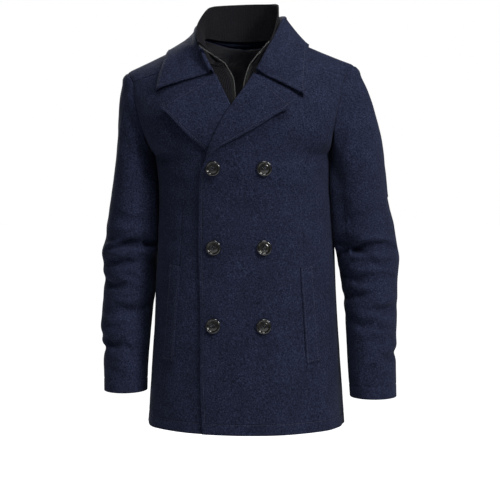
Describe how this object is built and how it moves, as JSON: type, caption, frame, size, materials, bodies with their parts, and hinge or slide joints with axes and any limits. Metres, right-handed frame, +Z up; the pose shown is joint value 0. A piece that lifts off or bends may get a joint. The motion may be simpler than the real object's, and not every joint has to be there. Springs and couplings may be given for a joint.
{
  "type": "double-breasted pea coat",
  "caption": "Hip-length double-breasted wool coat in its worn shape, with broad lapels, a folded collar, slanted welt pockets and a dark knit bib in the neck.",
  "frame": {"origin": "between the shoulders, level with the neck end of the shoulder line, where the coat rests on its wearer", "axes": "+Z up, the front faces -Y, +X towards the wearer's left"},
  "size_m": [0.5787, 0.277, 0.8244],
  "materials": {
    "back_left": "dense milled wool, slightly heathered",
    "front_left": "dense milled wool, slightly heathered",
    "sleeve_upper_left": "dense milled wool, slightly heathered",
    "sleeve_under_left": "dense milled wool, slightly heathered",
    "lapel_left": "dense milled wool, slightly heathered",
    "welt_left": "dense milled wool, slightly heathered",
    "back_right": "dense milled wool, slightly heathered",
    "front_right": "dense milled wool, slightly heathered",
    "sleeve_upper_right": "dense milled wool, slightly heathered",
    "sleeve_under_right": "dense milled wool, slightly heathered",
    "lapel_right": "dense milled wool, slightly heathered",
    "welt_right": "dense milled wool, slightly heathered",
    "collar": "dense milled wool, slightly heathered",
    "bib_left": "fine ribbed knit",
    "bib_right": "fine ribbed knit",
    "bib_collar": "fine ribbed knit",
    "zip_tape_left": "woven zip tape",
    "zip_tape_right": "woven zip tape",
    "button_top_left": "glossy dark horn effect",
    "button_top_right": "glossy dark horn effect",
    "button_middle_left": "glossy dark horn effect",
    "button_middle_right": "glossy dark horn effect",
    "button_bottom_left": "glossy dark horn effect",
    "button_bottom_right": "glossy dark horn effect"
  },
  "bodies": {
    "root": {"back_left": "back_left", "front_left": "front_left", "sleeve_upper_left": "sleeve_upper_left", "sleeve_under_left": "sleeve_under_left", "lapel_left": "lapel_left", "welt_left": "welt_left", "back_right": "back_right", "front_right": "front_right", "sleeve_upper_right": "sleeve_upper_right", "sleeve_under_right": "sleeve_under_right", "lapel_right": "lapel_right", "welt_right": "welt_right", "collar": "collar", "bib_left": "bib_left", "bib_right": "bib_right", "bib_collar": "bib_collar", "zip_tape_left": "zip_tape_left", "zip_tape_right": "zip_tape_right", "button_top_left": "button_top_left", "button_top_right": "button_top_right", "button_middle_left": "button_middle_left", "button_middle_right": "button_middle_right", "button_bottom_left": "button_bottom_left", "button_bottom_right": "button_bottom_right"}
  },
  "joints": []
}
